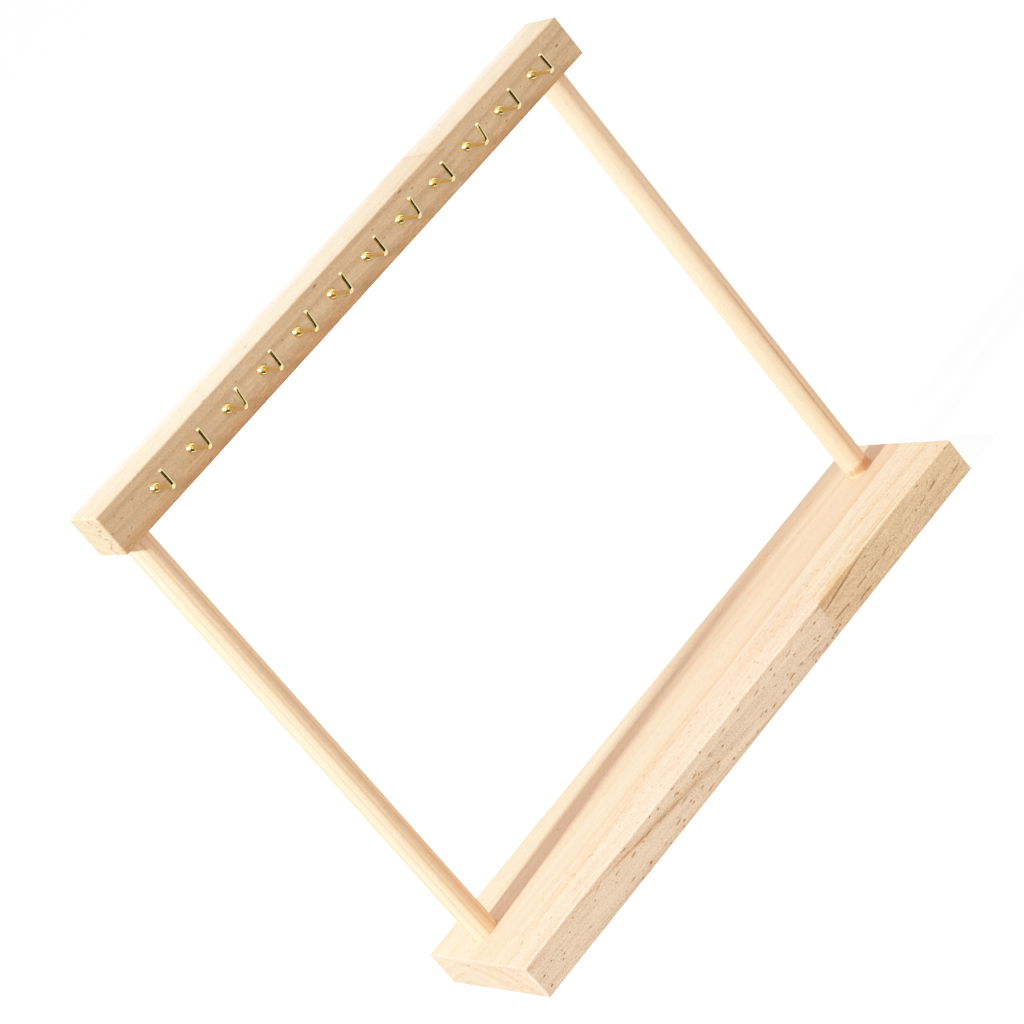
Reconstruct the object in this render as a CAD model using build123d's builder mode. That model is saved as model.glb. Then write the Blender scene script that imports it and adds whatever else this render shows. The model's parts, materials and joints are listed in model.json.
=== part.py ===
"""Table-top display rack: a wooden board carries two dowel posts, and a crossbar on the posts
carries a row of square brass hooks. Millimetres, +Z up, X along the rack with +X to the right,
-Y to the front where the hooks are. The origin is the middle of the board's underside."""
from build123d import *
from math import atan2, cos, degrees, radians, sin
import os

os.makedirs("parts", exist_ok=True)

# Base board, glued up from staves, front to rear; the front stave is two lengths.
base_length = 300.0
base_depth = 73.0
base_thickness = 17.0
front_stave_width = 25.0
rear_stave_width = 17.0
front_joint_from_right_end = 98.0

# Crossbar, two lengths in one line.
bar_inset = 4.0                 # board's end to crossbar's end
bar_depth = 23.0
bar_height = 19.5
bar_joint_after_hook = 9

# Both kinds of stock.
eased_edge = 0.5
finger_length = 7.0
fingers = 3

# Posts, turned dowels glued into blind sockets.
post_diameter = 12.0
post_end_inset = 12.0           # crossbar's end to post's axis
post_behind_middle = 11.5       # board's middle to post's axis
bar_ahead_of_post = 2.5         # post's axis to crossbar's middle
post_clear_height = 224.5       # board's top to crossbar's underside
base_socket_depth = 12.0
bar_socket_depth = 12.0
glue_gap = 0.05
dowel_chamfer = 0.8

# Hooks: brass wire with a cut wood-screw thread, a pressed collar and one square bend.
hook_leans = [-1, 3, 9.5, 3, 6, 5, 1, 6, -1, 9, 2, -3]   # degrees to the right, as each was set
hook_left_margin = 26.8         # crossbar's left end to the first hook
hook_right_margin = 25.4        # crossbar's right end to the last hook
hook_height = 10.0              # crossbar's underside to the hooks' screws
wire_diameter = 1.75
hook_reach = 16.2               # crossbar's face to the middle of the upright leg
hook_rise = 9.0                 # middle of the arm to the tip of the leg
hook_bend_radius = 1.9
screw_length = 6.5
screw_point_length = 2.5
screw_point_diameter = 0.3
tip_round = 0.6
screw_clearance = 0.05
pilot_run_out = 1.0             # hole beyond the screw's point

collar_diameter = 4.6
collar_rim = 0.5
collar_height = 1.7
collar_neck_wall = 0.35
collar_gap = 0.05

# What follows from the sizes above.
bar_length = base_length - 2 * bar_inset
bar_underside = base_thickness + post_clear_height
bar_middle_y = post_behind_middle - bar_ahead_of_post
bar_face_y = bar_middle_y - bar_depth / 2
post_x = bar_length / 2 - post_end_inset
post_places = [(-post_x, post_behind_middle), (post_x, post_behind_middle)]
socket_radius = post_diameter / 2 + glue_gap
wire_radius = wire_diameter / 2
hook_z = bar_underside + hook_height
hook_pitch = (bar_length - hook_left_margin - hook_right_margin) / (len(hook_leans) - 1)
hook_xs = [-bar_length / 2 + hook_left_margin + i * hook_pitch for i in range(len(hook_leans))]
front_seam_y = -base_depth / 2 + front_stave_width
rear_seam_y = base_depth / 2 - rear_stave_width
bar_face = Plane.XZ.offset(-bar_face_y)


def save(piece, name):
    piece.part.label = name
    export_step(piece.part, f"parts/{name}.step")


def finger_line(x, start, end):
    """Zigzag of a finger joint, from start to end across the stock, beginning and ending at x."""
    steps = 2 * fingers
    return [(x + finger_length * (i % 2), start + (end - start) * i / steps) for i in range(steps + 1)]


def saw_out(blank, plane, outline, depth, name):
    """One stick of a glued-up blank: what lies inside the outline."""
    with BuildPart() as stick:
        add(blank.part)
        with BuildSketch(plane):
            with BuildLine():
                Polyline(*outline, close=True)
            make_face()
        extrude(amount=depth, mode=Mode.INTERSECT)
    save(stick, name)


# Base board: glued up, planed, eased all round and bored for the posts.
with BuildPart() as board:
    with BuildSketch(Plane.XY):
        Rectangle(base_length, base_depth)
    extrude(amount=base_thickness)
    fillet(board.edges(), radius=eased_edge)
    with BuildSketch(Plane.XY.offset(base_thickness)):
        with Locations(*post_places):
            Circle(socket_radius)
    extrude(amount=-base_socket_depth, mode=Mode.SUBTRACT)

left_end, right_end = -base_length / 2, base_length / 2
front_edge, rear_edge = -base_depth / 2, base_depth / 2
front_fingers = finger_line(right_end - front_joint_from_right_end, front_edge, front_seam_y)
stave_outlines = {
    "base_front_stave_left": [(left_end, front_edge), *front_fingers, (left_end, front_seam_y)],
    "base_front_stave_right": [(right_end, front_edge), *front_fingers, (right_end, front_seam_y)],
    "base_middle_stave": [(left_end, front_seam_y), (right_end, front_seam_y),
                          (right_end, rear_seam_y), (left_end, rear_seam_y)],
    "base_rear_stave": [(left_end, rear_seam_y), (right_end, rear_seam_y),
                        (right_end, rear_edge), (left_end, rear_edge)],
}
for name, outline in stave_outlines.items():
    saw_out(board, Plane.XY, outline, base_thickness, name)

# Crossbar: finger-jointed stock with sockets from below and pilot holes from the front.
with BuildPart() as crossbar:
    with BuildSketch(Plane.XY.offset(bar_underside)):
        with Locations((0, bar_middle_y)):
            Rectangle(bar_length, bar_depth)
    extrude(amount=bar_height)
    fillet(crossbar.edges(), radius=eased_edge)
    with BuildSketch(Plane.XY.offset(bar_underside)):
        with Locations(*post_places):
            Circle(socket_radius)
    extrude(amount=bar_socket_depth, mode=Mode.SUBTRACT)
    with BuildSketch(bar_face):
        with Locations(*[(x, hook_z) for x in hook_xs]):
            Circle(wire_radius + screw_clearance)
    extrude(amount=-(screw_length + screw_point_length + pilot_run_out), mode=Mode.SUBTRACT)

bar_end = bar_length / 2
bar_top = bar_underside + bar_height
bar_joint_x = (hook_xs[bar_joint_after_hook - 1] + hook_xs[bar_joint_after_hook] - finger_length) / 2
bar_fingers = finger_line(bar_joint_x, bar_underside, bar_top)
saw_out(crossbar, bar_face, [(-bar_end, bar_underside), *bar_fingers, (-bar_end, bar_top)],
        -bar_depth, "crossbar_left")
saw_out(crossbar, bar_face, [(bar_end, bar_underside), *bar_fingers, (bar_end, bar_top)],
        -bar_depth, "crossbar_right")

# Posts: each stands on the floor of its lower socket and carries the roof of the upper one.
post_foot = base_thickness - base_socket_depth
post_length = bar_underside + bar_socket_depth - post_foot
for name, place in zip(["left_post", "right_post"], post_places):
    with BuildPart() as post:
        with BuildSketch(Plane.XY.offset(post_foot)):
            with Locations(place):
                Circle(post_diameter / 2)
        extrude(amount=post_length)
        chamfer(post.edges().filter_by(GeomType.CIRCLE), length=dowel_chamfer)
    save(post, name)

# Hooks: arm straight out of the crossbar's face, leg up at its lean, screw behind.
point_taper = degrees(atan2(wire_radius - screw_point_diameter / 2, screw_point_length))
for number, (x, lean) in enumerate(zip(hook_xs, hook_leans), start=1):
    lean_sin, lean_cos = sin(radians(lean)), cos(radians(lean))
    side = Plane(origin=(x, bar_face_y, hook_z), x_dir=(0, -1, 0), z_dir=(-lean_cos, 0, lean_sin))
    screw_axis = Axis((x, bar_face_y, hook_z), (0, -1, 0))

    with BuildPart() as hook:
        with BuildLine(side) as centre_line:
            FilletPolyline((-screw_length, 0), (hook_reach, 0), (hook_reach, hook_rise),
                           radius=hook_bend_radius)
        with BuildSketch(Plane.XZ.offset(-bar_face_y - screw_length)):
            with Locations((x, hook_z)):
                Circle(wire_radius)
        sweep(path=centre_line.wire())
        with BuildSketch(Plane.XZ.offset(-bar_face_y - screw_length)):
            with Locations((x, hook_z)):
                Circle(wire_radius)
        extrude(amount=-screw_point_length, taper=point_taper)
        tip = hook.faces().sort_by_distance(side.from_local_coords((hook_reach, hook_rise)))[0]
        fillet(tip.edges(), radius=tip_round)
    save(hook, f"hook_{number:02d}")

    with BuildPart() as collar:
        with BuildSketch(side):
            with BuildLine():
                rim_top = (collar_gap + collar_rim, collar_diameter / 2)
                neck_top = (collar_height, wire_radius + collar_neck_wall)
                Polyline(neck_top, (collar_height, wire_radius), (collar_gap, wire_radius),
                         (collar_gap, collar_diameter / 2), rim_top)
                RadiusArc(rim_top, neck_top, -collar_diameter / 2)
            make_face()
        revolve(axis=screw_axis)
    save(collar, f"hook_collar_{number:02d}")
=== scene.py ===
"""Table-top display rack: a glued-up pale board, two dowel posts and a finger-jointed crossbar
with a row of square brass screw hooks. Metres, +Z up, hooks towards -Y."""
import bpy
import bmesh
import json
from math import cos, pi, radians, sin, tanh
from mathutils import Euler, Matrix, Vector, noise


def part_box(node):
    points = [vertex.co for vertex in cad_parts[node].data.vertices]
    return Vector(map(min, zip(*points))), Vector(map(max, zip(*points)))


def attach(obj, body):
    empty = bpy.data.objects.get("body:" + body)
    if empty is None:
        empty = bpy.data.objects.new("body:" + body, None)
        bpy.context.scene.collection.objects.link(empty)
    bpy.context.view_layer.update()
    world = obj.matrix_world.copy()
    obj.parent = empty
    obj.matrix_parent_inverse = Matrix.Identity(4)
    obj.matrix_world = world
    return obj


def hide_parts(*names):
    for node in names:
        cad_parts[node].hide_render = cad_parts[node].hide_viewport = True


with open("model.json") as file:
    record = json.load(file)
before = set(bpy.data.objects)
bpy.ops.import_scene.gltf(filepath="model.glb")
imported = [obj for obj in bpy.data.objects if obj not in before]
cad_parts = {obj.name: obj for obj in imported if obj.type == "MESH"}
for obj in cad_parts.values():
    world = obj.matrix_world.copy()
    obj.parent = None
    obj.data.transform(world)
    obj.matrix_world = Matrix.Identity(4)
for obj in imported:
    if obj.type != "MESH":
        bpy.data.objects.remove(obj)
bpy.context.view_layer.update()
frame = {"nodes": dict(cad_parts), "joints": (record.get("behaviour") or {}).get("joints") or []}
MM = 0.001

# ---------------------------------------------------------------- Camera
# A long lens a metre and a half away, to the left of the rack's front and a little above it,
# rolled so that the rack stands on one corner of the frame.
camera_azimuth = radians(24.67)
camera_elevation = radians(20.93)
camera_roll = radians(40.07)
camera_distance = 1.5726
camera_aim = Vector((-0.0085, 0.0039, 0.1304))
camera_lens = 136.7

camera = bpy.data.objects.new("camera", bpy.data.cameras.new("camera"))
camera.data.lens = camera_lens
camera.data.sensor_width = 36.0
away = Vector((-sin(camera_azimuth) * cos(camera_elevation),
               -cos(camera_azimuth) * cos(camera_elevation), sin(camera_elevation)))
camera.location = camera_aim + camera_distance * away
upright = away.to_track_quat("Z", "Y")
camera.rotation_mode = "QUATERNION"
camera.rotation_quaternion = upright @ Euler((0, 0, -camera_roll)).to_quaternion()
bpy.context.collection.objects.link(camera)
bpy.context.scene.camera = camera

# ---------------------------------------------------------------- Studio
# A plain pale floor in a white room: one round key light a metre off to the rack's left and
# above, an even fill from everywhere, and a dark band of room low in front that only polished
# brass shows.
key_place = Vector((-1.15, -0.08, 0.96))
key_power = 43.0
key_width = 0.085
fill_strength = 1.07
gloss_strength = 1.75
white_level = 2.2
curve_steps = 11
band_height = -0.36
band_edges = (0.36, 0.20)
band_sides = (0.02, 0.30)
band_darkness = 0.98
floor_half = 6.0
floor_drop = 0.05 * MM
floor_tone = (0.86, 0.86, 0.86, 1)
floor_glow = 1.05

# Film-like tones: straight in the shade, then a soft shoulder that turns bright wood to cream.
view = bpy.context.scene.view_settings
view.view_transform = "Standard"
view.use_curve_mapping = True
view.curve_mapping.white_level = (white_level, white_level, white_level)
for i in range(1, curve_steps):
    exposure = i / curve_steps
    view.curve_mapping.curves[3].points.new(exposure, tanh(white_level * exposure) / tanh(white_level))
view.curve_mapping.update()

key = bpy.data.objects.new("key_light", bpy.data.lights.new("key_light", "AREA"))
key.data.shape = "DISK"
key.data.size = key_width
key.data.energy = key_power
key.location = key_place
key.rotation_mode = "QUATERNION"
key.rotation_quaternion = (key_place - camera_aim).to_track_quat("Z", "Y")
bpy.context.collection.objects.link(key)


def join(tree, value, socket):
    """Feeds a socket from another socket or with a constant."""
    if isinstance(value, bpy.types.NodeSocket):
        tree.links.new(value, socket)
    else:
        socket.default_value = value


def calc(tree, operation, *values, clamp=False):
    node = tree.nodes.new("ShaderNodeMath")
    node.operation = operation
    node.use_clamp = clamp
    for value, socket in zip(values, node.inputs):
        join(tree, value, socket)
    return node.outputs[0]


def step_between(tree, value, low, high):
    """0 below low, 1 above high and an S-curve between them; high may be the smaller one."""
    node = tree.nodes.new("ShaderNodeMapRange")
    node.interpolation_type = "SMOOTHSTEP"
    join(tree, value, node.inputs["Value"])
    join(tree, low, node.inputs["From Min"])
    join(tree, high, node.inputs["From Max"])
    return node.outputs["Result"]


room = bpy.data.worlds.new("white_room")
room.use_nodes = True
bpy.context.scene.world = room
tree = room.node_tree
direction = tree.nodes.new("ShaderNodeTexCoord").outputs["Generated"]
split = tree.nodes.new("ShaderNodeSeparateXYZ")
tree.links.new(direction, split.inputs[0])
off_band = calc(tree, "ABSOLUTE", calc(tree, "SUBTRACT", split.outputs["Z"], band_height))
in_front = tree.nodes.new("ShaderNodeVectorMath")
in_front.operation = "DOT_PRODUCT"
in_front.inputs[1].default_value = (-sin(camera_azimuth), -cos(camera_azimuth), 0)
tree.links.new(direction, in_front.inputs[0])
darkness = calc(tree, "MULTIPLY", step_between(tree, off_band, *band_edges),
                step_between(tree, in_front.outputs["Value"], *band_sides))
gloss = calc(tree, "MULTIPLY_ADD", darkness, -band_darkness * gloss_strength,
             gloss_strength - fill_strength)
ray = tree.nodes.new("ShaderNodeLightPath").outputs
fill = calc(tree, "MULTIPLY_ADD", ray["Is Glossy Ray"], gloss, fill_strength)
join(tree, calc(tree, "MULTIPLY_ADD", ray["Is Camera Ray"], white_level - fill_strength, fill),
     tree.nodes["Background"].inputs["Strength"])
tree.nodes["Background"].inputs["Color"].default_value = (1, 1, 1, 1)

floor_mesh = bpy.data.meshes.new("floor")
floor_mesh.from_pydata([(-floor_half, -floor_half, 0), (floor_half, -floor_half, 0),
                        (floor_half, floor_half, 0), (-floor_half, floor_half, 0)], [], [(0, 1, 2, 3)])
floor = bpy.data.objects.new("floor", floor_mesh)
floor.location.z = -floor_drop
floor.visible_glossy = False
floor.visible_diffuse = False
bpy.context.collection.objects.link(floor)
floor_white = bpy.data.materials.new("floor_white")
floor_white.use_nodes = True
floor_surface = floor_white.node_tree.nodes["Principled BSDF"]
floor_surface.inputs["Base Color"].default_value = floor_tone
floor_surface.inputs["Roughness"].default_value = 0.9
floor_surface.inputs["Specular IOR Level"].default_value = 0.1
floor_surface.inputs["Emission Color"].default_value = (1, 1, 1, 1)
floor_surface.inputs["Emission Strength"].default_value = floor_glow
floor_mesh.materials.append(floor_white)

# ---------------------------------------------------------------- Base board
# Pale hardwood sticks, edge-glued into a board and planed; the front stick is two lengths with
# a finger joint. The edges are eased with sandpaper and the posts' sockets are bored from above.
finger_steps = 6
eased_edge = 0.5 * MM
ease_segments = 4
edge_support = 1.0 * MM
weld_gap = 0.01 * MM
slice_length = 5 * MM
slice_width = 4 * MM
plane_wave = 0.05 * MM
edge_wear = 0.16 * MM
socket_gap = 0.05 * MM
socket_flare = 0.25 * MM
round_sides = 64
bore_sides = 48
bore_over = 0.5 * MM
on_face = 0.001 * MM
near_edge = 0.9 * eased_edge
wave_scale = 25
wear_scale = 140
wood_crease = radians(38)


def group(name, inputs, outputs):
    """An empty shader group with named sockets, given as {name: (type, default)}."""
    made = bpy.data.node_groups.new(name, "ShaderNodeTree")
    for label, (kind, value) in inputs.items():
        socket = made.interface.new_socket(label, in_out="INPUT", socket_type="NodeSocket" + kind)
        socket.default_value = value
    for label, kind in outputs.items():
        made.interface.new_socket(label, in_out="OUTPUT", socket_type="NodeSocket" + kind)
    return made, made.nodes.new("NodeGroupInput").outputs, made.nodes.new("NodeGroupOutput").inputs


def scaled(made, vector, factors):
    node = made.nodes.new("ShaderNodeVectorMath")
    node.operation = "MULTIPLY"
    made.links.new(vector, node.inputs[0])
    join(made, factors, node.inputs[1])
    return node.outputs["Vector"]


def cloud(made, vector, factors, detail=2.0, roughness=0.5):
    """Soft noise from -0.5 to 0.5, stretched along the grain by its three factors per metre."""
    node = made.nodes.new("ShaderNodeTexNoise")
    node.inputs["Scale"].default_value = 1.0
    node.inputs["Detail"].default_value = detail
    node.inputs["Roughness"].default_value = roughness
    made.links.new(scaled(made, vector, factors), node.inputs["Vector"])
    return calc(made, "SUBTRACT", node.outputs["Fac"], 0.5)


def mixed(made, share, low, high, blend="MIX"):
    node = made.nodes.new("ShaderNodeMix")
    node.data_type = "RGBA"
    node.blend_type = blend
    join(made, share, node.inputs["Factor"])
    join(made, low, node.inputs[6])
    join(made, high, node.inputs[7])
    return node.outputs[2]


# Growth rings round a pith that runs along X through the group's own origin. Each ring darkens up
# to its peak and drops to pale at its edge, some years more than others.
ring_peak = 0.93
ring_edge = 0.94
short_share = 0.12
year_swing = 0.65
year_least = 0.35
rings_group, given, result = group(
    "growth_rings",
    {"Vector": ("Vector", (0, 0, 0)), "Ring Width": ("Float", 3 * MM), "Wander": ("Float", 2 * MM),
     "Latewood Share": ("Float", 0.4)},
    {"Latewood": "Float", "Ring Tone": "Float"})
split = rings_group.nodes.new("ShaderNodeSeparateXYZ")
rings_group.links.new(given["Vector"], split.inputs[0])
radius = calc(rings_group, "SQRT", calc(rings_group, "ADD",
              calc(rings_group, "MULTIPLY", split.outputs["Y"], split.outputs["Y"]),
              calc(rings_group, "MULTIPLY", split.outputs["Z"], split.outputs["Z"])))
long_wander = cloud(rings_group, given["Vector"], (7, 28, 28), 2.0)
short_wander = cloud(rings_group, given["Vector"], (45, 160, 160), 2.0)
wander = calc(rings_group, "MULTIPLY_ADD", short_wander, short_share, long_wander)
bent = calc(rings_group, "MULTIPLY_ADD", wander, given["Wander"], radius)
turn = calc(rings_group, "DIVIDE", bent, given["Ring Width"])
phase = calc(rings_group, "FRACT", turn)
rise = step_between(rings_group, phase, calc(rings_group, "SUBTRACT", ring_edge, given["Latewood Share"]),
                    ring_peak)
fall = step_between(rings_group, phase, 1.0, ring_edge)
year = rings_group.nodes.new("ShaderNodeTexWhiteNoise")
year.noise_dimensions = "1D"
rings_group.links.new(calc(rings_group, "FLOOR", turn), year.inputs["W"])
strength = calc(rings_group, "MULTIPLY_ADD", year.outputs["Value"], year_swing, year_least)
rings_group.links.new(calc(rings_group, "MULTIPLY", calc(rings_group, "MULTIPLY", rise, fall), strength),
                      result["Latewood"])
rings_group.links.new(calc(rings_group, "SUBTRACT", year.outputs["Value"], 0.5), result["Ring Tone"])

# Fine fibres along the grain in two sizes, and the dust-fine speckle of cut cells.
fibres_group, given, result = group("fibres", {"Vector": ("Vector", (0, 0, 0))},
                                    {"Fine": "Float", "Coarse": "Float", "Speckle": "Float"})
fibres_group.links.new(cloud(fibres_group, given["Vector"], (70, 2200, 2200), 3.0, 0.65), result["Fine"])
fibres_group.links.new(cloud(fibres_group, given["Vector"], (14, 420, 420), 3.0, 0.6), result["Coarse"])
fibres_group.links.new(cloud(fibres_group, given["Vector"], (1100, 2300, 2300), 2.0, 0.7),
                       result["Speckle"])

# Vessels: long narrow pores, which a side face cuts to dashes and an end face to dots.
vessel_shuffle = 7.0
vessel_core = 0.45
vessels_group, given, result = group(
    "vessels",
    {"Vector": ("Vector", (0, 0, 0)), "Cell": ("Vector", (1, 1, 1)), "Size": ("Float", 0.1),
     "Share": ("Float", 1.0)},
    {"Vessel": "Float"})
cells = vessels_group.nodes.new("ShaderNodeTexVoronoi")
cells.inputs["Scale"].default_value = 1.0
vessels_group.links.new(scaled(vessels_group, given["Vector"], given["Cell"]), cells.inputs["Vector"])
kept = calc(vessels_group, "LESS_THAN", calc(vessels_group, "FRACT", calc(
    vessels_group, "MULTIPLY", cells.outputs["Color"], vessel_shuffle)), given["Share"])
inside = step_between(vessels_group, cells.outputs["Distance"], given["Size"],
                      calc(vessels_group, "MULTIPLY", given["Size"], vessel_core))
vessels_group.links.new(calc(vessels_group, "MULTIPLY", inside, kept), result["Vessel"])

# A mark in the wood, or a painted patch of light or shade: a soft lump of colour one unit across, ragged
# and broken up by the grain.
mark_raggedness = 0.9
mark_core = 0.35
gap_edges = (-0.02, 0.06)
mark_group, given, result = group(
    "wood_mark_or_painted_light",
    {"Vector": ("Vector", (0, 0, 0)), "Grain": ("Vector", (0, 0, 0)), "Broken": ("Float", 0.5)},
    {"Mark": "Float"})
ragged = cloud(mark_group, given["Grain"], (120, 900, 900), 3.0, 0.6)
gaps = cloud(mark_group, given["Grain"], (260, 700, 700), 2.0)
reach = mark_group.nodes.new("ShaderNodeVectorMath")
reach.operation = "LENGTH"
mark_group.links.new(given["Vector"], reach.inputs[0])
reached = calc(mark_group, "MULTIPLY_ADD", ragged, mark_raggedness, reach.outputs["Value"])
lump = step_between(mark_group, reached, 1.0, mark_core)
shown = calc(mark_group, "MULTIPLY", step_between(mark_group, gaps, *gap_edges), given["Broken"])
shown = calc(mark_group, "SUBTRACT", 1.0, shown)
mark_group.links.new(calc(mark_group, "MULTIPLY", lump, shown), result["Mark"])

# The wood's own colour: pale and warm patches from ring to ring, and darker latewood lines.
patch_swing = 2.4
ring_swing = 0.5
tone_group, given, result = group(
    "wood_tone",
    {"Vector": ("Vector", (0, 0, 0)), "Pale": ("Color", (1, 1, 1, 1)), "Warm": ("Color", (1, 1, 1, 1)),
     "Late": ("Color", (1, 1, 1, 1)), "Latewood": ("Float", 0), "Ring Tone": ("Float", 0)},
    {"Color": "Color"})
patches = cloud(tone_group, given["Vector"], (9, 60, 60), 2.0)
warmth = calc(tone_group, "MULTIPLY_ADD", patches, patch_swing, 0.5, clamp=True)
warmth = calc(tone_group, "MULTIPLY_ADD", given["Ring Tone"], ring_swing, warmth, clamp=True)
colour = mixed(tone_group, warmth, given["Pale"], given["Warm"])
tone_group.links.new(mixed(tone_group, given["Latewood"], colour, given["Late"]), result["Color"])

# The sanded surface: fibres and speckle shade it, end grain drinks the light, and pores are dark.
fibre_share = 0.7
speckle_share = 1.8
end_grain_shade = 0.14
pore_depth = 1.6
latewood_height = 0.4
wood_roughness = 0.62
roughness_swing = 0.12
sanded_group, given, result = group(
    "sanded_surface",
    {"Color": ("Color", (1, 1, 1, 1)), "Pore": ("Color", (0, 0, 0, 1)), "Latewood": ("Float", 0),
     "Fine": ("Float", 0), "Coarse": ("Float", 0), "Speckle": ("Float", 0), "Vessel": ("Float", 0),
     "End Grain": ("Float", 0), "Fibre Contrast": ("Float", 0.2)},
    {"Color": "Color", "Height": "Float", "Roughness": "Float"})
weave = calc(sanded_group, "MULTIPLY", calc(sanded_group, "ADD", given["Coarse"], given["Fine"]),
             fibre_share)
weave = calc(sanded_group, "MULTIPLY_ADD", given["Speckle"], speckle_share, weave)
shade = calc(sanded_group, "MULTIPLY_ADD", weave, given["Fibre Contrast"], 1.0)
shade = calc(sanded_group, "MULTIPLY_ADD", given["End Grain"], -end_grain_shade, shade)
shading = sanded_group.nodes.new("ShaderNodeCombineColor")
for channel in shading.inputs:
    sanded_group.links.new(shade, channel)
colour = mixed(sanded_group, 1.0, given["Color"], shading.outputs[0], "MULTIPLY")
sanded_group.links.new(mixed(sanded_group, given["Vessel"], colour, given["Pore"]), result["Color"])
height = calc(sanded_group, "MULTIPLY_ADD", given["Vessel"], -pore_depth, weave)
sanded_group.links.new(calc(sanded_group, "MULTIPLY_ADD", given["Latewood"], latewood_height, height),
                       result["Height"])
sanded_group.links.new(calc(sanded_group, "MULTIPLY_ADD", weave, roughness_swing, wood_roughness),
                       result["Roughness"])


grain_bump = 0.6
wood_gloss = 0.3
end_grain_edges = (0.5, 0.9)


def placed(tree, made, **values):
    node = tree.nodes.new("ShaderNodeGroup")
    node.node_tree = made
    for label, value in values.items():
        join(tree, value, node.inputs[label.replace("_", " ")])
    return node.outputs


def wood(name, pale, warm, late, pore, along=(0, 0, 0), pith=(0, 0, -0.06), ring_width=3 * MM,
         ring_wander=2 * MM, latewood_share=0.4, vessel_cell=(40, 900, 900), vessel_size=0.14,
         vessel_share=0.8, fibre_contrast=0.2, relief=0.03 * MM, tints=(), marks=()):
    """Bare wood. along turns the grain away from X, pith puts the tree's middle, both as seen by
    the stick; vessel_cell is in cells per metre. Tints colour the wood under its grain, marks
    lie in it, and some tints and marks are painted light or shade instead: (centre and half
    sizes in millimetres, turn in degrees, colour, strength, how broken up)."""
    material = bpy.data.materials.new(name)
    material.use_nodes = True
    tree = material.node_tree
    surface = tree.nodes["Principled BSDF"]

    def mapped(centre, turn, size=(1, 1, 1)):
        mapping = tree.nodes.new("ShaderNodeMapping")
        mapping.vector_type = "TEXTURE"
        mapping.inputs["Location"].default_value = centre
        mapping.inputs["Rotation"].default_value = [radians(angle) for angle in turn]
        mapping.inputs["Scale"].default_value = size
        tree.links.new(coordinates["Object"], mapping.inputs["Vector"])
        return mapping.outputs["Vector"]

    coordinates = tree.nodes.new("ShaderNodeTexCoord").outputs
    grain = mapped(pith, along)
    across = tree.nodes.new("ShaderNodeVectorMath")
    across.operation = "DOT_PRODUCT"
    turned_grain = Euler([radians(angle) for angle in along]).to_matrix()
    across.inputs[1].default_value = turned_grain @ Vector((1, 0, 0))
    tree.links.new(coordinates["Normal"], across.inputs[0])
    end_grain = step_between(tree, calc(tree, "ABSOLUTE", across.outputs["Value"]), *end_grain_edges)

    def marked(colour, kept_marks):
        for centre, size, turn, tint, strength, broken in kept_marks:
            mark = placed(tree, mark_group, Vector=mapped([at * MM for at in centre], turn,
                                                          [half * MM for half in size]),
                          Grain=grain, Broken=broken)
            colour = mixed(tree, calc(tree, "MULTIPLY", mark["Mark"], strength), colour, (*tint, 1))
        return colour

    rings = placed(tree, rings_group, Vector=grain, Ring_Width=ring_width, Wander=ring_wander,
                   Latewood_Share=latewood_share)
    fibres = placed(tree, fibres_group, Vector=grain)
    vessels = placed(tree, vessels_group, Vector=grain, Cell=vessel_cell, Size=vessel_size,
                     Share=vessel_share)
    tone = placed(tree, tone_group, Vector=grain, Pale=(*pale, 1), Warm=(*warm, 1), Late=(*late, 1),
                  Latewood=rings["Latewood"], Ring_Tone=rings["Ring Tone"])
    sanded = placed(tree, sanded_group, Color=marked(tone["Color"], tints), Pore=(*pore, 1),
                    Latewood=rings["Latewood"], Fine=fibres["Fine"], Coarse=fibres["Coarse"],
                    Speckle=fibres["Speckle"], Vessel=vessels["Vessel"], End_Grain=end_grain,
                    Fibre_Contrast=fibre_contrast)
    colour = marked(sanded["Color"], marks)
    bump = tree.nodes.new("ShaderNodeBump")
    bump.inputs["Strength"].default_value = grain_bump
    bump.inputs["Distance"].default_value = relief
    tree.links.new(sanded["Height"], bump.inputs["Height"])
    tree.links.new(bump.outputs["Normal"], surface.inputs["Normal"])
    tree.links.new(colour, surface.inputs["Base Color"])
    tree.links.new(sanded["Roughness"], surface.inputs["Roughness"])
    surface.inputs["Specular IOR Level"].default_value = wood_gloss
    return material


def finished(name, bm, material, body, slot, *nodes, sharp=wood_crease):
    """Makes the piece from its mesh, smooth but for its corners, and hands it to the frame."""
    mesh = bpy.data.meshes.new(name)
    bmesh.ops.recalc_face_normals(bm, faces=bm.faces)
    for face in bm.faces:
        face.smooth = True
    bm.to_mesh(mesh)
    bm.free()
    mesh.set_sharp_from_angle(angle=sharp)
    mesh.materials.append(material)
    piece = bpy.data.objects.new(name, mesh)
    bpy.context.collection.objects.link(piece)
    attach(piece, body)
    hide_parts(*nodes)
    return piece


def turned(profile, sides=round_sides):
    """Mesh turned round Z from (radius, height) points; a point on the axis closes it."""
    bm = bmesh.new()
    rows = []
    for radius, height in profile:
        if radius == 0:
            rows.append([bm.verts.new((0, 0, height))])
        else:
            rows.append([bm.verts.new((radius * cos(2 * pi * i / sides), radius * sin(2 * pi * i / sides),
                                       height)) for i in range(sides)])
    for low, high in zip(rows, rows[1:]):
        for i in range(sides):
            ring = [low[i % len(low)], low[(i + 1) % len(low)], high[(i + 1) % len(high)],
                    high[i % len(high)]]
            corners = list(dict.fromkeys(ring))
            if len(corners) > 2:
                bm.faces.new(corners)
    return bm


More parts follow.
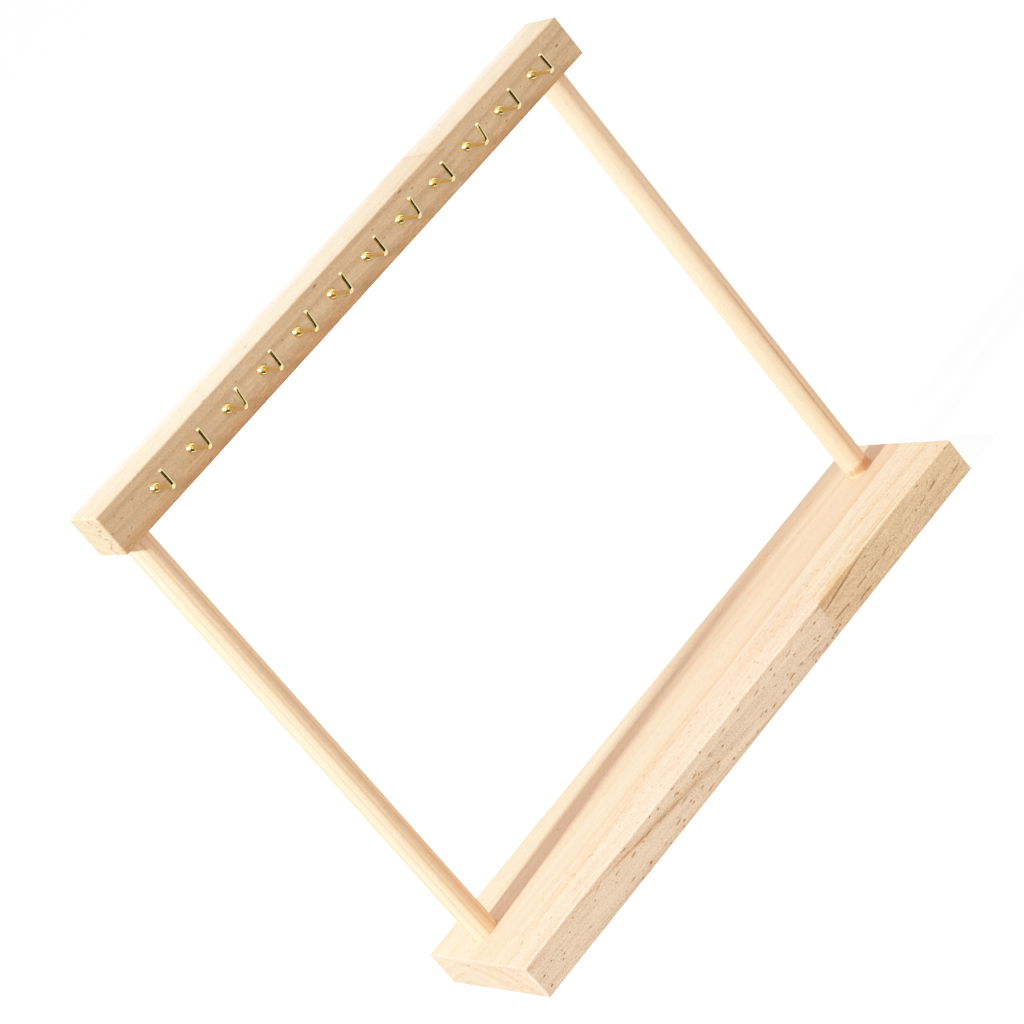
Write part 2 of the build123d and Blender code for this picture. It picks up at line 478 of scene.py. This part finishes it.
def cutter(places, radius, depth, mouth_flare, axis):
    """One mesh of bored holes: each runs from its mouth against the axis, with a flared rim."""
    bore = turned([(0, -depth), (radius, -depth), (radius, -mouth_flare), (radius + mouth_flare, 0),
                   (radius + mouth_flare, bore_over), (0, bore_over)], bore_sides)
    single = bpy.data.meshes.new("bore")
    bmesh.ops.recalc_face_normals(bore, faces=bore.faces)
    bore.to_mesh(single)
    bore.free()
    bm = bmesh.new()
    for place in places:
        known = len(bm.verts)
        bm.from_mesh(single)
        bm.verts.ensure_lookup_table()
        turn = Vector(axis).to_track_quat("Z", "X").to_matrix().to_4x4()
        bmesh.ops.transform(bm, matrix=Matrix.Translation(place) @ turn, verts=bm.verts[known:])
    return bm


def bored(bm, holes):
    """The stick less its holes."""
    pair = []
    for name, part in (("stick", bm), ("holes", holes)):
        mesh = bpy.data.meshes.new(name)
        bmesh.ops.recalc_face_normals(part, faces=part.faces)
        part.to_mesh(mesh)
        part.free()
        pair.append(bpy.data.objects.new(name, mesh))
        bpy.context.collection.objects.link(pair[-1])
    cut = pair[0].modifiers.new("holes", "BOOLEAN")
    cut.operation, cut.object, cut.solver = "DIFFERENCE", pair[1], "EXACT"
    mesh = bpy.data.meshes.new_from_object(pair[0].evaluated_get(bpy.context.evaluated_depsgraph_get()))
    for scrap in pair:
        bpy.data.objects.remove(scrap)
    left = bmesh.new()
    left.from_mesh(mesh)
    return left


def stick(outline, low, high, upright_axis, blank, holes=None):
    """A length of planed stock. The outline lies across upright_axis and is drawn up from low to
    high; edges on the outside of the blank are eased and worn, edges on a glue line stay sharp."""
    lift = Vector([float(axis == upright_axis) for axis in range(3)])
    bm = bmesh.new()
    first, second = [axis for axis in range(3) if axis != upright_axis]
    feet = []
    for u, v in outline:
        point = Vector((0, 0, 0))
        point[first], point[second], point[upright_axis] = u, v, low
        feet.append(bm.verts.new(point))
    foot = bm.faces.new(feet)
    raised = bmesh.ops.extrude_face_region(bm, geom=[foot])
    bmesh.ops.translate(bm, vec=lift * (high - low),
                        verts=[item for item in raised["geom"] if isinstance(item, bmesh.types.BMVert)])
    limits = [(axis, side, blank[side][axis]) for axis in range(3) for side in (0, 1)]

    def shared_faces(edge):
        return sum(all(abs(v.co[axis] - value) < on_face for v in edge.verts)
                   for axis, side, value in limits)

    outer = [edge for edge in bm.edges if shared_faces(edge) > 1]
    bmesh.ops.bevel(bm, geom=outer, offset=eased_edge, segments=ease_segments, profile=0.5,
                    affect="EDGES", clamp_overlap=True)
    if holes is not None:
        bm = bored(bm, holes)
    for axis, spacing in ((0, slice_length), (1, slice_width), (2, slice_width)):
        start, end = min(v.co[axis] for v in bm.verts), max(v.co[axis] for v in bm.verts)
        count = int((end - start) / spacing)
        inside = [start + (end - start) * i / count for i in range(1, count)]
        for place in [start + edge_support, *inside, end - edge_support]:
            point, normal = Vector(), Vector()
            point[axis], normal[axis] = place, 1
            bmesh.ops.bisect_plane(bm, geom=[*bm.verts, *bm.edges, *bm.faces], plane_co=point,
                                   plane_no=normal)
    bmesh.ops.remove_doubles(bm, verts=bm.verts, dist=weld_gap)
    bmesh.ops.dissolve_degenerate(bm, edges=bm.edges, dist=weld_gap)
    for vert in bm.verts:
        near = [(axis, side) for axis, side, value in limits if abs(vert.co[axis] - value) < near_edge]
        shift = Vector()
        for axis, side in near:
            wave = noise.noise(vert.co * wave_scale + Vector((axis * 9, side * 5, 0))) * plane_wave
            wear = abs(noise.noise(vert.co * wear_scale + Vector((3, 7, 1)))) * edge_wear
            wear = wear if len(near) > 1 else 0
            shift[axis] = (wave - wear) * (1 if side else -1)
        vert.co += shift
    return bm


def zigzag(x, reach, start, end):
    """The glue line of a finger joint from start to end, beginning and ending at x."""
    return [(x + reach * (i % 2), start + (end - start) * i / finger_steps)
            for i in range(finger_steps + 1)]


posts = {name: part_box(name) for name in ("left_post", "right_post")}
post_axes = [((low[0] + high[0]) / 2, (low[1] + high[1]) / 2) for low, high in posts.values()]
post_radius = (posts["left_post"][1][0] - posts["left_post"][0][0]) / 2
staves = {name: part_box(name) for name in ("base_front_stave_left", "base_front_stave_right",
                                          "base_middle_stave", "base_rear_stave")}
board = [[pick(box[side][axis] for box in staves.values()) for axis in range(3)]
         for side, pick in ((0, min), (1, max))]
board_top = board[1][2]
socket_depth = board_top - posts["left_post"][0][2]

front_left, front_right = staves["base_front_stave_left"], staves["base_front_stave_right"]
joint_x = front_right[0][0]
joint = zigzag(joint_x, front_left[1][0] - joint_x, front_left[0][1], front_left[1][1])
outlines = {
    "base_front_stave_left": [(board[0][0], joint[0][1]), *joint, (board[0][0], joint[-1][1])],
    "base_front_stave_right": [(board[1][0], joint[0][1]), *joint, (board[1][0], joint[-1][1])],
}
for name in ("base_middle_stave", "base_rear_stave"):
    (left, front, _), (right, back, _) = staves[name]
    outlines[name] = [(left, front), (right, front), (right, back), (left, back)]

dark_grain = (0.37, 0.16, 0.05)
brown_grain = (0.50, 0.22, 0.08)
orange_grain = (0.66, 0.33, 0.14)
# Painted light: the whole front-left face is tinted a lighter pink than the stick's top.
painted_light_pink_face = (0.98, 0.66, 0.435)
pink_top = (0.86, 0.46, 0.31)
# Painted light: the whole front-right face is tinted lighter and yellower than the stick's top.
painted_light_yellow_face = (0.83, 0.52, 0.285)
end_pore = (0.25, 0.12, 0.05)


def pores(start, end, count):
    """A scattered row of open pores on the front face, between two (x, z) places in millimetres."""
    return [((start[0] + (end[0] - start[0]) * i / (count - 1), -37,
              start[1] + (end[1] - start[1]) * i / (count - 1) + 1.6 * sin(5 * i)),
             (2.3 + sin(3 * i), 3, 0.55), (0, -7, 0), dark_grain, 0.8, 0.3) for i in range(count)]


stave_woods = {
    "base_front_stave_left": wood(
        "pinkish_front_stick", (0.82, 0.47, 0.31), (0.77, 0.41, 0.26), (0.70, 0.34, 0.19),
        (0.34, 0.15, 0.05), along=(0, 2.5, 0), pith=(0, 0.04, -0.09), ring_width=7 * MM,
        latewood_share=0.6, vessel_cell=(210, 520, 520), vessel_size=0.24, vessel_share=0.4,
        fibre_contrast=0.95,
        # Painted light: the front face is tinted lighter than the top.
        tints=[((-50, -37, 8.5), (250, 3.5, 16), (0, 0, 0), painted_light_pink_face, 0.85, 0),
               ((-40, -28, 17), (150, 12, 3), (0, 0, 0.6), pink_top, 0.7, 0),
               ((-62, -37, 11.3), (62, 3, 2.6), (0, 7, 0), orange_grain, 0.4, 0.2),
               ((-40, -37, 0.5), (100, 6, 2.6), (0, 0.5, 0), orange_grain, 0.25, 0.3)],
        marks=[((-74, -37, 12.2), (58, 2, 0.85), (0, 5.5, 0), brown_grain, 0.75, 0.5),
               *pores((-104, 14), (-20, 5), 9), *pores((-52, 13), (50, 14), 10),
               *pores((-90, 4), (-38, 2.5), 6), *pores((0, 5), (58, 2.5), 9),
               ((30, -37, 5.5), (18, 3, 0.5), (0, 5, 0), brown_grain, 0.8, 1.0),
               ((-100, -33, 17), (30, 0.5, 3), (0, 0, 0.6), brown_grain, 0.6, 0.7),
               ((-150, -27, 15), (1, 3.5, 0.5), (6, 0, 0), end_pore, 0.7, 0.6)]),
    "base_front_stave_right": wood(
        "yellow_front_stick", (0.77, 0.46, 0.29), (0.73, 0.42, 0.25), (0.62, 0.32, 0.15),
        (0.22, 0.10, 0.035), along=(0, -3, 2), pith=(0.05, 0.06, -0.11), ring_width=6.5 * MM,
        latewood_share=0.35, vessel_cell=(170, 560, 560), vessel_size=0.2, vessel_share=0.25,
        fibre_contrast=0.95,
        # Painted light: the front face is tinted lighter than the top.
        tints=[((100, -37, 8.5), (150, 3.5, 16), (0, 0, 0), painted_light_yellow_face, 0.85, 0),
               ((62, -37, 16.6), (27, 6, 3.2), (0, -7, 0), orange_grain, 0.8, 0)],
        marks=[((69, -37, 14.2), (24, 6, 0.9), (0, -7, 0), brown_grain, 0.95, 0.1),
               ((62, -37, 13.2), (14, 6, 0.5), (0, -7, 0), dark_grain, 0.9, 0.1),
               ((84, -37, 7.6), (30, 4, 0.55), (0, -1.5, 0), dark_grain, 0.9, 1.0),
               ((73, -37, 2.6), (9, 4, 0.9), (0, -1, 0), dark_grain, 0.95, 0.7),
               ((58, -37, 5.8), (10, 4, 0.6), (0, 1, 0), dark_grain, 0.9, 0.8),
               ((127, -37, 9.4), (15, 4, 0.6), (0, -7, 0), dark_grain, 0.85, 1.0),
               ((143, -37, 6.3), (7, 4, 0.5), (0, -8, 0), dark_grain, 0.8, 0.8),
               ((96, -34.2, 17), (36, 0.8, 3), (0, 0, 0.6), brown_grain, 0.95, 0.3),
               ((90, -32.2, 17), (34, 0.7, 3), (0, 0, 0.9), brown_grain, 0.8, 0.5)]),
    "base_middle_stave": wood(
        "cream_middle_stick", (0.80, 0.485, 0.31), (0.74, 0.415, 0.255), (0.68, 0.36, 0.21),
        (0.36, 0.19, 0.09), along=(0, 0.6, 1.0), pith=(0, 0.03, -0.07), ring_width=6 * MM,
        latewood_share=0.5, vessel_cell=(150, 700, 700), vessel_size=0.18, vessel_share=0.25,
        fibre_contrast=0.5,
        marks=[((-150, 9, 14), (1, 1.6, 0.8), (4, 0, 0), end_pore, 0.9, 0),
               ((-150, -4, 9), (1, 7, 4), (25, 0, 0), orange_grain, 0.4, 1.0)]),
    "base_rear_stave": wood(
        "cream_rear_stick", (0.80, 0.495, 0.31), (0.75, 0.43, 0.26), (0.68, 0.365, 0.20),
        (0.36, 0.19, 0.09), along=(0, -0.8, -0.8), pith=(0, -0.02, -0.10), ring_width=4.5 * MM,
        latewood_share=0.45, vessel_cell=(150, 700, 700), vessel_size=0.18, vessel_share=0.2,
        fibre_contrast=0.5),
}
socket_mouths = [(x, y, board_top) for x, y in post_axes]
for name, outline in outlines.items():
    holes = None
    if staves[name][0][1] < post_axes[0][1] < staves[name][1][1]:
        holes = cutter(socket_mouths, post_radius + socket_gap, socket_depth, socket_flare, (0, 0, 1))
    bm = stick(outline, board[0][2], board_top, 2, board, holes)
    finished(name + "_wood", bm, stave_woods[name], "stand", "base_wood", name)

# ---------------------------------------------------------------- Crossbar
# Two lengths of the same pale wood, finger-jointed end to end and planed square. Sockets for the
# posts are bored from below, and a pilot hole for each hook from the front.
pilot_gap = 0.05 * MM
pilot_depth = 10 * MM
pilot_flare = 0.1 * MM
hook_names = sorted(name for name in frame["nodes"] if name.startswith("hook_") and "collar" not in name)
hook_joints = {made["child"]: made for made in frame["joints"]}
hook_roots = {name: Vector(hook_joints[name]["pos_m"]) for name in hook_names}
wire_radius = 0.875 * MM

bars = {name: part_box(name) for name in ("crossbar_left", "crossbar_right")}
rail = [[pick(box[side][axis] for box in bars.values()) for axis in range(3)]
        for side, pick in ((0, min), (1, max))]
bar_joint_x = bars["crossbar_right"][0][0]
bar_joint = zigzag(bar_joint_x, bars["crossbar_left"][1][0] - bar_joint_x, rail[0][2], rail[1][2])
bar_socket_depth = posts["left_post"][1][2] - rail[0][2]
bar_mouths = [(x, y, rail[0][2]) for x, y in post_axes]

pin_knot = (0.16, 0.07, 0.03)
# Painted shadow and reflection: a dark orange patch low on the crossbar's front between two hooks.
painted_shadow_patch = (0.48, 0.22, 0.10)
# Darker and more orange along the bottom of the crossbar's front.
rail_edge = (0.50, 0.235, 0.09)
# Painted light: the crossbar's top is tinted much lighter than its front.
painted_light_rail_top = (0.83, 0.53, 0.34)
# Painted highlight: the back of the crossbar's top is paler still, almost white.
painted_glare_rail_rear = (0.96, 0.76, 0.59)
end_pores = [((-146, 3.2 + 2.6 * sin(7 * i), 243.2 + 0.82 * i + sin(4 * i) / 2),
              (1.2, 0.7 + sin(5 * i) / 4, 0.8), (25, 0, 0), pin_knot, 1.0, 0.15) for i in range(20)]
bar_woods = {
    "crossbar_left": wood(
        "tan_rail_stick", (0.63, 0.40, 0.23), (0.57, 0.35, 0.195), (0.51, 0.30, 0.16),
        (0.22, 0.11, 0.05), along=(0, 1.0, 0.5), pith=(0, 0.03, 0.21), ring_width=5 * MM,
        latewood_share=0.5, vessel_cell=(210, 760, 760), vessel_size=0.2, vessel_share=0.2,
        fibre_contrast=0.55,
        # Darker and more orange towards the bottom of the front face.
        tints=[((-40, -3, 240.5), (190, 4, 9), (0, 0.6, 0), rail_edge, 0.85, 0.1),
               # Painted light on the top face.
               ((-40, 11, 261.6), (190, 27, 1.6), (0, 0, 0), painted_light_rail_top, 0.9, 0),
               # Painted highlight along the back of the top.
               ((-40, 20, 261.6), (190, 10, 1.5), (0, 0, 0), painted_glare_rail_rear, 0.7, 0)],
        marks=[((-14, -2.5, 259), (1.6, 1, 0.6), (0, 0, 0), pin_knot, 0.9, 0.2),
               ((41, -2.5, 259.5), (1.8, 1, 0.6), (0, 0, 0), pin_knot, 0.9, 0.2),
               # Painted shadow and reflection low on the front, between two hooks.
               ((6, -2.5, 243), (9, 3, 2.4), (0, 0, 0), painted_shadow_patch, 0.8, 0.2),
               ((-50, 4, 261), (2.0, 0.8, 0.6), (0, 0, 10), pin_knot, 0.7, 0.2), *end_pores]),
    "crossbar_right": wood(
        "pale_rail_stick", (0.63, 0.40, 0.23), (0.58, 0.355, 0.195), (0.51, 0.30, 0.155),
        (0.22, 0.11, 0.05), along=(0, -1.2, -0.6), pith=(0, -0.03, 0.20), ring_width=5.5 * MM,
        latewood_share=0.45, vessel_cell=(210, 760, 760), vessel_size=0.2, vessel_share=0.2,
        fibre_contrast=0.55,
        # Darker and more orange towards the bottom of the front face.
        tints=[((100, -3, 240.5), (72, 4, 8), (0, 0.4, 0), rail_edge, 0.8, 0.1),
               # Painted light on the top face.
               ((100, 11, 261.6), (100, 27, 1.6), (0, 0, 0), painted_light_rail_top, 0.9, 0),
               # Painted highlight along the back of the top.
               ((100, 20, 261.6), (100, 10, 1.5), (0, 0, 0), painted_glare_rail_rear, 0.7, 0)],
        marks=[((138, -2.5, 252), (1.4, 1, 0.6), (0, 0, 0), pin_knot, 0.9, 0.2)]),
}
for name, end in (("crossbar_left", rail[0][0]), ("crossbar_right", rail[1][0])):
    low, high = bars[name]
    holes = cutter([place for place in bar_mouths if low[0] < place[0] < high[0]],
                   post_radius + socket_gap, bar_socket_depth, socket_flare, (0, 0, -1))
    pilots = cutter([root for root in hook_roots.values() if low[0] < root.x < high[0]],
                    wire_radius + pilot_gap, pilot_depth, pilot_flare, (0, -1, 0))
    spare = bpy.data.meshes.new("pilots")
    pilots.to_mesh(spare)
    holes.from_mesh(spare)
    outline = [(end, rail[0][2]), *bar_joint, (end, rail[1][2])]
    bm = stick(outline, rail[0][1], rail[1][1], 1, rail, holes)
    finished(name + "_wood", bm, bar_woods[name], "stand", "crossbar_wood", name)

# ---------------------------------------------------------------- Posts
# Turned dowels with small chamfers, glued into the sockets of board and crossbar. Their grain
# runs up the post, and they are never quite straight or round.
dowel_chamfer = 0.8 * MM
dowel_bow = 0.12 * MM
post_rows = 60
dowel_ripple = 0.004
ripple_scale = (90, 90, 12)
bow_scale = (9, 6)
# Painted shade: a dark band round the foot of the right post, where it meets the board.
painted_shade_post_foot = (0.45, 0.19, 0.06)
# Painted shade: a dark line up the right post where its lit side turns to shade.
painted_shade_post_line = (0.55, 0.27, 0.11)
post_wood = {
    "left_post": wood(
        "left_dowel", (0.86, 0.55, 0.34), (0.81, 0.48, 0.28), (0.70, 0.36, 0.17), (0.36, 0.18, 0.07),
        along=(0, 90, 0), pith=(-0.16, 0.02, 0), ring_width=3.2 * MM, latewood_share=0.45,
        vessel_cell=(90, 900, 900), vessel_share=0.1, fibre_contrast=0.4),
    "right_post": wood(
        "right_dowel", (0.86, 0.55, 0.34), (0.81, 0.49, 0.29), (0.70, 0.37, 0.18), (0.36, 0.18, 0.07),
        along=(0, 90, 0), pith=(0.16, 0.03, 0), ring_width=2.8 * MM, latewood_share=0.45,
        vessel_cell=(90, 900, 900), vessel_share=0.1, fibre_contrast=0.4,
        # Painted shade at the post's foot.
        tints=[((135, 7, 19.4), (15, 11, 2.9), (0, 0, 0), painted_shade_post_foot, 0.75, 0),
               # Painted shade line along the post.
               ((134.4, 5.5, 80), (0.7, 1.5, 70), (0, 0.3, 0), painted_shade_post_line, 0.7, 0.1)]),
}
for (name, (low, high)), (x, y) in zip(posts.items(), post_axes):
    shaft = [(post_radius, low[2] + dowel_chamfer + (high[2] - low[2] - 2 * dowel_chamfer) * i / post_rows)
             for i in range(post_rows + 1)]
    bm = turned([(0, low[2]), (post_radius - dowel_chamfer, low[2]), *shaft,
                 (post_radius - dowel_chamfer, high[2]), (0, high[2])])
    for vert in bm.verts:
        height = vert.co.z
        free = sin(pi * (height - low[2]) / (high[2] - low[2]))
        lumps = [vert.co[axis] * ripple_scale[axis] for axis in range(3)]
        ripple = 1 + dowel_ripple * noise.noise(Vector((lumps[0], lumps[1], lumps[2] + x)))
        for axis, place, seed in ((0, x, 1), (1, y, 7)):
            bow = noise.noise(Vector((x * bow_scale[0], seed, height * bow_scale[1])))
            vert.co[axis] = vert.co[axis] * ripple + place + dowel_bow * free * bow
    post = finished(name + "_wood", bm, post_wood[name], "stand", "post_wood", name)

# The crossbar would hide the key light from the right post, so that post has a lamp of its own.
post_lamp = bpy.data.objects.new("right_post_lamp", key.data.copy())
post_lamp.location = key.location
post_lamp.rotation_mode = "QUATERNION"
post_lamp.rotation_quaternion = key.rotation_quaternion
bpy.context.collection.objects.link(post_lamp)
for lamp, state in ((key, "EXCLUDE"), (post_lamp, "INCLUDE")):
    lit = bpy.data.collections.new("lit_by_" + lamp.name)
    lit.objects.link(post)
    lit.collection_objects[0].light_linking.link_state = state
    lamp.light_linking.receiver_collection = lit
post_lamp.light_linking.blocker_collection = post_lamp.light_linking.receiver_collection

# ---------------------------------------------------------------- Hooks
# Brass wire cut to length: a wood-screw thread and point on one end, one square bend near the
# other, a tumbled tip, then bright plating. Each is screwed in by hand and stands as it was left.
wire_sides = 28
thread_pitch = 0.85 * MM
thread_depth = 0.2 * MM
thread_length = 6.0 * MM
point_length = 2.5 * MM
bend_radius = 1.9 * MM
bend_steps = 14
tip_round = 0.6 * MM
thread_step = 0.09 * MM
bend_swell = 0.05
point_share = 0.12
shank_steps = 8
leg_steps = 5
tip_steps = 5
lean_share = 0.3
wire_crease = radians(50)

# Bright brass: faint drawing lines along the wire, soft tarnish and fingerprints in patches.
drawn_bump = 0.35
drawn_relief = 0.006 * MM
speck_share = 0.35
dullness_edges = (-0.08, 0.2)
dull_roughness = 0.22
speck_height = 0.4
patina_group, given, result = group(
    "brass_patina",
    {"Vector": ("Vector", (0, 0, 0)), "Bright": ("Color", (1, 1, 1, 1)), "Tarnish": ("Color", (1, 1, 1, 1)),
     "Amount": ("Float", 0.5), "Polish": ("Float", 0.15)},
    {"Color": "Color", "Roughness": "Float", "Height": "Float"})
patch = cloud(patina_group, given["Vector"], (240, 240, 240), 3.0, 0.6)
speck = cloud(patina_group, given["Vector"], (2200, 2200, 2200), 2.0)
dullness = calc(patina_group, "MULTIPLY", step_between(patina_group, calc(
    patina_group, "MULTIPLY_ADD", speck, speck_share, patch), *dullness_edges), given["Amount"])
patina_group.links.new(mixed(patina_group, dullness, given["Bright"], given["Tarnish"]), result["Color"])
patina_group.links.new(calc(patina_group, "MULTIPLY_ADD", dullness, dull_roughness, given["Polish"]),
                       result["Roughness"])
drawn = cloud(patina_group, given["Vector"], (5200, 500, 5200), 2.0)
patina_group.links.new(calc(patina_group, "MULTIPLY_ADD", speck, speck_height, drawn), result["Height"])


def brass(name, bright, tarnish, amount, polish):
    material = bpy.data.materials.new(name)
    material.use_nodes = True
    tree = material.node_tree
    surface = tree.nodes["Principled BSDF"]
    surface.inputs["Metallic"].default_value = 1.0
    patina = placed(tree, patina_group, Vector=tree.nodes.new("ShaderNodeTexCoord").outputs["Object"],
                    Bright=(*bright, 1), Tarnish=(*tarnish, 1), Amount=amount, Polish=polish)
    bump = tree.nodes.new("ShaderNodeBump")
    bump.inputs["Strength"].default_value = drawn_bump
    bump.inputs["Distance"].default_value = drawn_relief
    tree.links.new(patina["Height"], bump.inputs["Height"])
    tree.links.new(bump.outputs["Normal"], surface.inputs["Normal"])
    tree.links.new(patina["Color"], surface.inputs["Base Color"])
    tree.links.new(patina["Roughness"], surface.inputs["Roughness"])
    return material


hook_brass = brass("bright_brass_wire", (0.86, 0.68, 0.30), (0.62, 0.42, 0.14), 0.45, 0.12)


def wire_stations(reach, rise):
    """Stations along a hook: (distance out, height up, direction angle, radius, thread phase)."""
    stations = []
    start = -(thread_length + point_length)
    steps = int(-start / thread_step)
    for i in range(steps + 1):
        out = start - start * i / steps
        taper = min(1.0, point_share + (1 - point_share) * (out - start) / point_length)
        stations.append((out, 0.0, 0.0, wire_radius * taper, out / thread_pitch))
    straight = reach - bend_radius
    stations += [(straight * i / shank_steps, 0.0, 0.0, wire_radius, None)
                 for i in range(1, shank_steps + 1)]
    for i in range(1, bend_steps + 1):
        angle = pi / 2 * i / bend_steps
        stations.append((straight + bend_radius * sin(angle), bend_radius * (1 - cos(angle)), angle,
                         wire_radius, None))
    leg = rise - tip_round
    stations += [(reach, bend_radius + (leg - bend_radius) * i / leg_steps, pi / 2, wire_radius, None)
                 for i in range(1, leg_steps + 1)]
    for i in range(1, tip_steps + 1):
        angle = pi / 2 * i / tip_steps
        stations.append((reach, leg + tip_round * sin(angle), pi / 2,
                         wire_radius - tip_round * (1 - cos(angle)), None))
    return stations


def wire_mesh(root, leg_way, reach, rise):
    """The hook's wire in place: out along -Y from its root, then up along leg_way."""
    out_way = Vector((0, -1, 0))
    side_way = leg_way.cross(out_way)
    bm = bmesh.new()
    rows = []
    for out, up, angle, radius, turns in wire_stations(reach, rise):
        centre = root + out_way * out + leg_way * up
        across = leg_way * cos(angle) - out_way * sin(angle)
        swell = 1 + bend_swell * sin(2 * angle) if 0 < angle < pi / 2 else 1
        row = []
        for i in range(wire_sides):
            around = 2 * pi * i / wire_sides
            reached = radius
            if turns is not None:
                ridge = abs(((turns - i / wire_sides) % 1) * 2 - 1)
                reached = radius * (1 - thread_depth / wire_radius * (1 - ridge))
            row.append(bm.verts.new(centre + across * (reached / swell * cos(around))
                                    + side_way * (reached * swell * sin(around))))
        rows.append(row)
    for low, high in zip(rows, rows[1:]):
        for i in range(wire_sides):
            bm.faces.new([low[i], low[(i + 1) % wire_sides], high[(i + 1) % wire_sides], high[i]])
    bm.faces.new(rows[0])
    bm.faces.new(rows[-1])
    return bm


leg_ways = {}
for name in hook_names:
    root = hook_roots[name]
    low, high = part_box(name)
    tip_points = [v.co for v in frame["nodes"][name].data.vertices if v.co.z > high[2] - tip_round / 4]
    tip = sum(tip_points, Vector()) / len(tip_points)
    leg_ways[name] = Vector((tip.x - root.x, 0, tip.z - root.z)).normalized()
    reach = root.y - low[1] - wire_radius
    rise = (high[2] - root.z - wire_radius * abs(leg_ways[name].x) * lean_share) / leg_ways[name].z
    finished(name + "_wire", wire_mesh(root, leg_ways[name], reach, rise), hook_brass, name, "hook_brass",
             name, sharp=wire_crease)

# ---------------------------------------------------------------- Hook collars
# Small brass cups, pressed from sheet with a rolled lip, pushed up the wire against the crossbar.
# They hide the rim of the pilot hole and turn with their hook.
collar_brass = brass("pressed_brass_collar", (0.84, 0.66, 0.26), (0.58, 0.40, 0.13), 0.6, 0.17)
collar_sides = 48
lip_radius = 0.28 * MM
collar_neck = 0.32 * MM
dome_steps = 10
lip_steps = 6
lip_turn = 0.8
dome_lean = 0.8
dome_swell = 1.6
collar_hollow = 0.35 * MM
collar_foot = 0.2 * MM
collar_wall = 0.7 * MM
mouth_round = 0.08 * MM
seam_gap = 0.0001 * MM

for name in hook_names:
    node = name.replace("hook_", "hook_collar_")
    low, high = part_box(node)
    radius = (high[0] - low[0]) / 2
    root = hook_roots[name]
    back, front = root.y - high[1], root.y - low[1]
    lip = [(radius - lip_radius + lip_radius * cos(angle), back + lip_radius + lip_radius * sin(angle))
           for angle in [-pi / 2 + pi * i / lip_steps * lip_turn for i in range(lip_steps + 1)]]
    start_radius, start_height = lip[-1]
    neck = wire_radius + collar_neck
    dome = []
    for i in range(1, dome_steps + 1):
        angle = pi / 2 * i / dome_steps
        dome.append((neck + (start_radius - neck) * (1 - sin(angle)) ** dome_lean,
                     start_height + (front - start_height) * (1 - (1 - sin(angle)) ** dome_swell)))
    profile = [(wire_radius, back + collar_hollow), (radius - collar_wall, back + collar_foot), *lip, *dome,
               (wire_radius + mouth_round, front), (wire_radius, front - mouth_round),
               (wire_radius, back + collar_hollow)]
    bm = turned(profile, collar_sides)
    bmesh.ops.remove_doubles(bm, verts=bm.verts, dist=seam_gap)
    bmesh.ops.transform(bm, verts=bm.verts, matrix=Matrix.Translation(root)
                        @ Vector((0, -1, 0)).to_track_quat("Z", "X").to_matrix().to_4x4())
    finished(node + "_cup", bm, collar_brass, name, "collar_brass", node)
